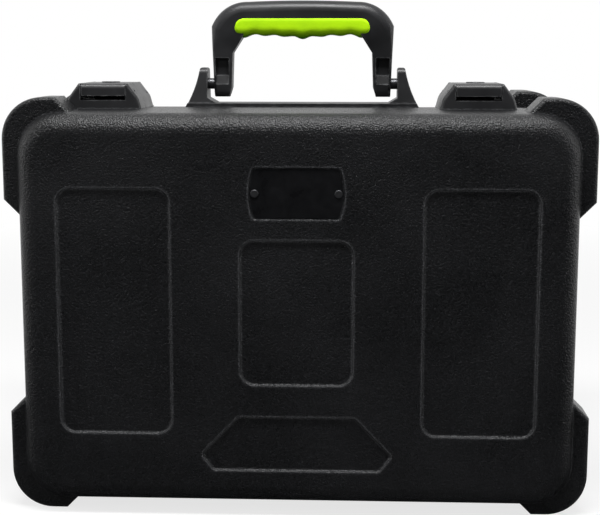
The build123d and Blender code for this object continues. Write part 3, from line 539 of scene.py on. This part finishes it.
def makeDropBlock():
    # cells: each blends a circle into its square; tubes: the circle carried through with round lips;
    # border: the cells' outer rectangle blended into the outline, round the side and back again
    s = dropSet
    low, high, zoneAt = foamZone("foam_drop_block", foamSet["baseDraft"], 0, foamSet["corner"])
    deep, edge, margin = high[1] - low[1], foamSet["edge"], foamSet["margin"]
    turn = np.radians(np.linspace(-135, 225, 4 * s["steps"] + 1))
    cellU, cellV = onceRound(np.linspace(-1, 1, s["steps"] + 1), np.linspace(-1, 1, s["steps"] + 1))
    bends = np.array(s["bends"])[:, None]
    lipR = s["bore"] + s["lip"]
    cellX = lipR * np.cos(turn) * (1 - bends) + cellU * s["pitchX"] / 2 * bends
    cellZ = lipR * np.sin(turn) * (1 - bends) + cellV * s["pitchZ"] / 2 * bends
    run = np.linspace(margin, deep - margin, foamSet["wallRows"])
    depths, swell = sideProfile(deep, s["lip"], s["lip"], run)
    radius = (s["bore"] + swell)[:, None]
    tubeX, tubeZ = radius * np.cos(turn), radius * np.sin(turn)
    tubeY = np.broadcast_to((low[1] + depths)[:, None], tubeX.shape)
    patches = []
    for column in range(s["columns"]):
        for row in range(s["rows"]):
            x = (column - (s["columns"] - 1) / 2) * s["pitchX"]
            z = s["middleZ"] + (row - (s["rows"] - 1) / 2) * s["pitchZ"]
            for y in (low[1], high[1]):
                patches.append(np.stack([cellX + x, np.full_like(cellX, y), cellZ + z], -1))
            patches.append(np.stack([tubeX + x, tubeY, tubeZ + z], -1))
    side = np.linspace(-1, 1, s["columns"] * s["steps"] + 1)
    rise = np.linspace(-1, 1, s["rows"] * s["steps"] + 1)
    u, v = onceRound(side, rise)
    innerX = u * (s["columns"] * s["pitchX"] / 2)
    innerZ = s["middleZ"] + v * (s["rows"] * s["pitchZ"] / 2)

    def faceRows(depth, y, shares):
        # rows on a flat face: share 0 is the cells' rectangle, share 1 the outline
        edgeX, edgeZ = spanned(u, v, zoneAt(depth, edge))
        return [np.stack([innerX * (1 - t) + edgeX * t, np.full_like(u, y),
                          innerZ * (1 - t) + edgeZ * t], -1) for t in shares]

    plateHalf, plateNear, plateFar = s["plate"]
    near, far = plateNear - low[1], plateFar - low[1]
    run = np.concatenate([[near - s["step"], near, (near + far) / 2, far, far + s["step"]],
                          np.linspace(far + margin, deep - margin, s["backRows"])])
    rows = faceRows(0, low[1], np.linspace(0, 1, s["faceRows"])[:-1])
    for depth, inset in zip(*sideProfile(deep, edge, edge, run)):
        x, z = spanned(u, v, zoneAt(depth, inset))
        if near <= depth <= far:
            runOut = smoothStep(np.abs(x), plateHalf + s["runOut"][0], plateHalf + s["runOut"][1])
            z = z - s["relief"] * (v == 1) * (1 - runOut)
        rows.append(np.stack([x, np.full_like(x, low[1] + depth), z], -1))
    rows += faceRows(deep, high[1], np.linspace(1, 0, s["faceRows"])[1:])
    patches.append(np.stack(rows))
    dressFoam(joinPatches("dropFoam", patches), "foam_drop_block", "base")


wellSet = {
    "half": 0.200, "lowZ": 0.035, "highZ": 0.097, "round": 0.008,
    "steps": (90, 44), "faceRows": 5,
}


def makeWellSurround():
    # one ring profile carried round: bore wall, front face, outer wall, back face, closed on itself
    s = wellSet
    low, high, zoneAt = foamZone("foam_well_surround", foamSet["baseDraft"], foamSet["corner"], 0)
    deep, edge, margin = high[1] - low[1], foamSet["edge"], foamSet["margin"]
    side, rise = (np.sin(np.linspace(-1, 1, count) * math.pi / 2) for count in s["steps"])
    u, v = onceRound(side, rise)

    def wellZone(inset):
        # the well's own outline, widened by an inset
        corner = s["round"] + inset
        return [s["half"] + inset, s["lowZ"] - inset, s["highZ"] + inset, corner, corner]

    run = np.linspace(margin, deep - margin, foamSet["wallRows"])
    outer, inner = [], []
    for depth, inset in zip(*sideProfile(deep, edge, edge, run)):
        for rows, zone in ((outer, zoneAt(depth, inset)), (inner, wellZone(inset))):
            x, z = spanned(u, v, zone)
            rows.append(np.stack([x, np.full_like(x, low[1] + depth), z], -1))
    blend = np.linspace(0, 1, s["faceRows"])[1:-1, None, None]
    front = inner[0] * (1 - blend) + outer[0] * blend
    back = outer[-1] * (1 - blend) + inner[-1] * blend
    ring = np.concatenate([np.stack(inner[::-1]), front, np.stack(outer), back, inner[-1][None]])
    dressFoam(joinPatches("wellFoam", [ring]), "foam_well_surround", "base")


makeDropBlock()
makeWellSurround()
print("drop block and well surround made")


# handle, swept from one foot over the crown to the other

def shadeByAngle(piece, degrees):
    # edges that turn by more than the angle stay sharp
    work = bmesh.new()
    work.from_mesh(piece.data)
    for edge in work.edges:
        edge.smooth = len(edge.link_faces) != 2 or edge.calc_face_angle(0) < math.radians(degrees)
    work.to_mesh(piece.data)
    work.free()


def dressRigid(piece, node, slot, body, sharp):
    # a finish by its slot, sharp edges from an angle on, and what the piece replaces and rides on
    piece.data.materials.append(finishes[slot])
    shadeByAngle(piece, sharp)
    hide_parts(node)
    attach(piece, body)


def arcThrough(a, b, c, count):
    # points on the circle through a, b and c, from a to c; its centre in complex numbers, with
    # w = (c - a) / (b - a), is a + (b - a) * (w - |w| squared) / (2i * imaginary part of w)
    a, b, c = (complex(*p) for p in (a, b, c))
    w = (c - a) / (b - a)
    centre = a + (b - a) * (w - abs(w) ** 2) / (2j * w.imag)
    first, middle, last = (np.angle(p - centre) for p in (a, b, c))
    while middle < first:
        middle += 2 * math.pi
    while last < first:
        last += 2 * math.pi
    if middle > last:
        last -= 2 * math.pi
    turn = np.linspace(first, last, count)
    radius = abs(a - centre)
    return np.stack([centre.real + radius * np.cos(turn), centre.imag + radius * np.sin(turn)], -1)


def alongLine(points, count):
    # evenly spaced points on a chain of straight runs
    points = np.array(points)
    steps = np.concatenate([[0], np.cumsum(np.hypot(*np.diff(points, axis=0).T))])
    place = np.linspace(0, steps[-1], count)
    return np.stack([np.interp(place, steps, points[:, i]) for i in (0, 1)], -1)


def ringSection(width, thick, innerRound, outerRound, stops, count):
    # a rounded oblong, one row per station: inner corner, front, outer corner and back again;
    # returns how far each point lies across and through the handle
    turn = np.linspace(0, math.pi / 2, count)
    near, far = 1 - np.cos(turn), 1 - np.sin(turn)
    half = thick / 2
    across = np.concatenate([innerRound * near, stops, width - outerRound * far], -1)
    through = np.concatenate([
        half - innerRound * far, np.broadcast_to(half, stops.shape), half - outerRound * near], -1)
    return (np.concatenate([across, across[:, ::-1], across[:, :1]], -1),
            np.concatenate([-through, through[:, ::-1], -through[:, :1]], -1))


def closedEnds(body, count):
    # the sections, and at each end one more patch that draws the last section to its middle
    shrink = np.linspace(0, 1, count)[:, None, None]
    return [body] + [end + (end.mean(0) - end) * shrink for end in (body[0], body[-1])]


handleSet = {
    "foot": 0.0088, "knee": 0.0491,               # lifts above the top wall
    "outerFoot": 0.0812, "outerKnee": 0.0828,     # half widths
    "elbow": (0.0840, 0.0730), "bend": (0.0705, 0.0896), "shoulder": (0.0500, 0.0954), "crown": 0.0966,
    "innerFoot": 0.0679, "heel": (0.0652, 0.0175), "innerKnee": 0.0641,
    "arch": (0.0552, 0.0631), "under": (0.0500, 0.0725),
    "legThick": 0.020, "barThick": 0.024, "thicken": (0.050, 0.066),
    "legRound": 0.0022, "crownRound": 0.0095, "innerRound": 0.0014, "footRound": 0.0060,
    "easing": 0.010,                              # this far above the elbow the crown has its full round
    "pocket": (0.0740, 0.00625),                  # middle and half width
    "pocketLifts": (0.0202, 0.0285, 0.0444),      # its start, its step and its top
    "pocketDepths": (0.0008, 0.0032, 0.0050),     # at the start, before the step and past it
    "lip": 0.0004,
    "legRuns": ((0.0165, 4), (0.0225, 5), (0.031, 7)),    # even runs up the leg: first lift, rows
    "runGap": 0.001,                              # from the end of a run to the pocket's next edge
    "footRows": 8, "kneeRows": 12, "bendRows": 26, "crownRows": 20,
    "corner": 6, "across": 7, "capRows": 5, "sharp": 30,
}


def handlePlace(node):
    # the middle of a piece from front to back, and the height that the lifts count from
    low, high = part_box(node)
    return (low[1] + high[1]) / 2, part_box("handle_frame")[0][2] - handleSet["foot"]


def handleOutline():
    # outer and inner border of the right half, from the foot to the middle of the crown
    s = handleSet
    start, step, top = s["pocketLifts"]
    lip, gap = s["lip"], s["runGap"]
    (footLift, footCount), (rampLift, rampCount), (deepLift, deepCount) = s["legRuns"]
    lifts = np.concatenate([
        s["foot"] + s["footRound"] * (1 - np.cos(np.linspace(0, math.pi / 2, s["footRows"]))),
        np.linspace(footLift, start - gap, footCount), [start, start + lip],
        np.linspace(rampLift, step - gap, rampCount), [step, step + lip],
        np.linspace(deepLift, top - gap, deepCount), [top - lip, top, s["knee"]]])
    outerX = np.interp(lifts, [s["foot"], s["knee"]], [s["outerFoot"], s["outerKnee"]])
    innerX = np.interp(lifts, [s["foot"], s["heel"][1], s["knee"]],
                       [s["innerFoot"], s["heel"][0], s["innerKnee"]])
    outerLeg, innerLeg = np.stack([outerX, lifts], -1), np.stack([innerX, lifts], -1)
    rise = alongLine([(s["outerKnee"], s["knee"]), s["elbow"]], s["kneeRows"])
    bend = arcThrough(s["elbow"], s["bend"], s["shoulder"], s["bendRows"])
    outerBend = np.concatenate([rise[1:], bend[1:]])
    innerBend = alongLine([(s["innerKnee"], s["knee"]), s["arch"], s["under"]], len(outerBend) + 1)[1:]
    otherShoulder = (-s["shoulder"][0], s["shoulder"][1])
    rows = s["crownRows"] + 1
    crown = arcThrough(s["shoulder"], (0, s["crown"]), otherShoulder, 2 * s["crownRows"] + 1)[1:rows]
    under = alongLine([s["under"], (0, s["under"][1])], rows)[1:]
    return np.concatenate([outerLeg, outerBend, crown]), np.concatenate([innerLeg, innerBend, under])


def makeHandleFrame():
    # rows are sections between the two borders; a pocket is pressed into both faces of each leg;
    # both feet are rounded front to back and closed by drawing the last section together
    s = handleSet
    middleY, topZ = handlePlace("handle_frame")
    outer, inner = handleOutline()
    span = outer - inner
    width = np.hypot(*span.T)[:, None]
    lift = outer[:, 1:]
    onLeg = lift < s["knee"]
    raised = smoothStep(inner[:, 1:], *s["thicken"])
    thick = s["legThick"] + (s["barThick"] - s["legThick"]) * raised
    sunk = np.clip(1 - (lift - s["foot"]) / s["footRound"], 0, 1)
    thick = thick - 2 * s["footRound"] * (1 - np.sqrt(1 - sunk ** 2))
    crownShare = smoothStep(lift, s["knee"], s["elbow"][1] + s["easing"])
    outerRound = s["legRound"] + (s["crownRound"] - s["legRound"]) * crownShare
    innerRound = np.full_like(width, s["innerRound"])
    middle, half = s["pocket"]
    lip, halfLip = s["lip"], s["lip"] / 2
    start, end = (middle - inner[:, :1] + side * half for side in (-1, 1))
    share = np.linspace(0, 1, s["across"])
    stops = np.concatenate([
        innerRound + (start - innerRound) * share[1:], start + lip, start + (end - start) * share[1:-1],
        end - lip, end + (width - outerRound - end) * share[:-1]], -1)
    knee = np.count_nonzero(onLeg) - 1
    flat = width - outerRound - innerRound
    stops = np.where(onLeg, stops, innerRound + (stops[knee] - innerRound[knee]) / flat[knee] * flat)
    startLift, stepLift, topLift = s["pocketLifts"]
    startDepth, rampDepth, fullDepth = s["pocketDepths"]
    ramp = np.interp(lift, [startLift + halfLip, stepLift], [startDepth, rampDepth])
    sinking = np.where(lift > stepLift + halfLip, fullDepth, ramp)
    inPocket = (lift > startLift + halfLip) & (lift < topLift - halfLip)
    sinking = sinking * ((stops > start + halfLip) & (stops < end - halfLip) & inPocket)
    across, through = ringSection(width, thick, innerRound, outerRound, stops, s["corner"])
    pressed = np.zeros_like(across)
    corner, count = s["corner"], stops.shape[1]
    again = 3 * corner + count                    # where the same stops come back on the other face
    pressed[:, corner:corner + count] = sinking
    pressed[:, again:again + count] = sinking[:, ::-1]
    through = np.sign(through) * (np.abs(through) - pressed)
    direction = span / width
    x = inner[:, :1] + across * direction[:, :1]
    z = inner[:, 1:] + across * direction[:, 1:] + topZ
    right = np.stack([x, middleY + through, z], -1)
    left = right[::-1].copy()
    left[..., 0] *= -1
    piece = joinPatches("handleBar", closedEnds(np.concatenate([right, left[1:]]), s["capRows"]))
    dressRigid(piece, "handle_frame", "handle_plastic", "handle", s["sharp"])


gripSet = {
    "half": 0.0621, "top": 0.0808, "ends": 0.0626, "endRound": 0.0085, "swell": 0.00875,
    "lifts": (0.0615, 0.0641, 0.0636, 0.0653, 0.0644, 0.0659),    # bulges and hollows from the middle out
    "lastPlace": 0.8,                             # of the end round: the underside's wave ends there
    "thick": 0.027, "topRound": 0.0035, "lowRound": 0.0095, "capRound": 0.0025,
    "roundLimit": 0.49,                           # of the height or thickness, where that is small
    "flat": (0.35, 0.65, 4),                      # points between the rounds: shares of the height, count
    "rows": 161, "corner": 9, "capRows": 4, "sharp": 60,
}


def makeHandleGrip():
    # one rounded section per place along the bar; its underside follows a wave of finger hollows:
    # between two turning points the lift goes over by half a cosine
    s = gripSet
    middleY, topZ = handlePlace("handle_grip")
    x = np.sin(np.linspace(-1, 1, s["rows"]) * math.pi / 2) * s["half"]
    places = np.append(np.arange(len(s["lifts"])) * s["swell"], s["half"] - s["endRound"] * s["lastPlace"])
    lifts = np.append(s["lifts"], s["ends"])
    index = np.clip(np.searchsorted(places, np.abs(x), side="right") - 1, 0, len(places) - 2)
    share = np.clip((np.abs(x) - places[index]) / (places[index + 1] - places[index]), 0, 1)
    under = lifts[index] + (lifts[index + 1] - lifts[index]) * (1 - np.cos(math.pi * share)) / 2
    inEnd = np.clip((np.abs(x) - (s["half"] - s["endRound"])) / s["endRound"], 0, 1)
    drawn = s["endRound"] * (1 - np.sqrt(1 - inEnd ** 2))
    height = (s["top"] - drawn - under - drawn)[:, None]
    base = (under + drawn)[:, None]
    inCap = np.clip((np.abs(x) - (s["half"] - s["capRound"])) / s["capRound"], 0, 1)[:, None]
    thick = s["thick"] - 2 * s["capRound"] * (1 - np.sqrt(1 - inCap ** 2))
    limit = np.minimum(height, thick) * s["roundLimit"]
    lowRound, topRound = np.minimum(s["lowRound"], limit), np.minimum(s["topRound"], limit)
    stops = np.clip(height * np.linspace(*s["flat"])[None], lowRound, height - topRound)
    across, through = ringSection(height, thick, lowRound, topRound, stops, s["corner"])
    body = np.stack([np.broadcast_to(x[:, None], across.shape), middleY + through, base + across + topZ], -1)
    piece = joinPatches("handleGripSleeve", closedEnds(body, s["capRows"]))
    dressRigid(piece, "handle_grip", "grip_rubber", "handle", s["sharp"])


makeHandleFrame()
makeHandleGrip()
print("handle and grip made")


# floor, world and lamps

stageSet = {
    "half": 6.0,              # of the floor's side
    "floor": (0.86, 0.86, 0.86, 1), "shade": (0.02, 0.02, 0.02, 1), "white": (1, 1, 1, 1),
    "glow": 0.75,             # of the floor's white beside the case
    "world": 0.36,            # strength of the light that it casts
    "dim": 0.03,              # what shines back from the camera's side
    "behind": (0.05, 0.60),   # floor, by distance: from there on it shows as white in reflections
    "fade": (0.7, 1.9),       # floor, by distance from the case: it goes over to plain white
    "turned": (-0.30, 0.30),  # world, by direction: likewise
}
lampAim = (0, 0, 0.25)
lampSet = {
    "top": {"place": (0.0, -0.50, 1.40), "size": (0.9, 0.28), "watts": 23},
    "front": {"place": (-0.9, -1.9, 1.3), "size": (0.4, 0.4), "watts": 3},
    "left": {"place": (-1.6, -0.3, 0.7), "size": (0.3, 1.2), "watts": 6},
    "right": {"place": (1.6, -0.3, 0.7), "size": (0.3, 1.2), "watts": 5.5},
}


def rayKinds(g):
    # 1 for camera rays; 1 for glossy and transmission rays
    path = g.add("ShaderNodeLightPath")
    mirrored = path.out("Is Glossy Ray").maths("MAXIMUM", path.out("Is Transmission Ray"))
    return path.out("Is Camera Ray"), mirrored


def makeFloor():
    # a square at height zero: white to the camera, and in reflections from behind the case on;
    # it still takes a shadow
    s = stageSet
    mesh = bpy.data.meshes.new("floor")
    corners = np.array([(-1, -1, 0), (1, -1, 0), (1, 1, 0), (-1, 1, 0)], float) * s["half"]
    mesh.from_pydata(corners.tolist(), [], [(0, 1, 2, 3)])
    floor = bpy.data.objects.new("floor", mesh)
    bpy.context.scene.collection.objects.link(floor)
    material, g = newMaterial("paleFloor")
    seen, mirrored = rayKinds(g)
    distance = g.add("ShaderNodeSeparateXYZ", {}, {"Vector": g.place()}).out("Y")
    behind = g.spread(distance, *s["behind"])
    tone = g.blendColour(mirrored * (1 - behind), s["floor"], s["shade"])
    matt = g.add("ShaderNodeBsdfDiffuse", {}, {"Color": tone}).out("BSDF")
    glow = g.add("ShaderNodeEmission", {}, {"Color": s["white"], "Strength": 1.0}).out("Emission")
    length = g.add("ShaderNodeVectorMath", {"operation": "LENGTH"}, {0: g.place()}).out("Value")
    shown = (seen + mirrored * behind) * g.spread(length, *s["fade"], s["glow"], 1.0)
    mix = g.add("ShaderNodeMixShader", {}, {0: shown, 1: matt, 2: glow})
    g.add("ShaderNodeOutputMaterial", {}, {"Surface": mix.out("Shader")})
    mesh.materials.append(material)


def makeWorld():
    # white to the camera; in reflections white behind the case and dim on the camera's side
    s = stageSet
    world = bpy.data.worlds.new("studio")
    bpy.context.scene.world = world
    g = Graph(world)
    seen, mirrored = rayKinds(g)
    heading = g.add("ShaderNodeTexCoord").out("Generated")
    turned = g.add("ShaderNodeSeparateXYZ", {}, {"Vector": heading}).out("Y")
    mirror = g.spread(turned, *s["turned"], s["dim"], 1.0)
    strength = seen + mirrored * mirror + (1 - seen) * (1 - mirrored) * s["world"]
    back = g.add("ShaderNodeBackground", {}, {"Color": s["white"], "Strength": strength}).out("Background")
    g.add("ShaderNodeOutputWorld", {}, {"Surface": back})


def makeLamp(name, s):
    # an oblong lamp at its place, turned so that it faces the aim
    data = bpy.data.lights.new(name, "AREA")
    data.shape = "RECTANGLE"
    data.size, data.size_y = s["size"]
    data.energy = s["watts"]
    lamp = bpy.data.objects.new(name, data)
    bpy.context.scene.collection.objects.link(lamp)
    away = np.array(s["place"]) - np.array(lampAim)
    lamp.location = s["place"]
    flat = math.hypot(away[0], away[1])
    lamp.rotation_euler = (math.atan2(flat, away[2]), 0, math.atan2(away[0], -away[1]))


makeFloor()
makeWorld()
for lampName, lampValues in lampSet.items():
    makeLamp(lampName, lampValues)
bpy.context.scene.view_settings.view_transform = "Standard"
print("stage lit")
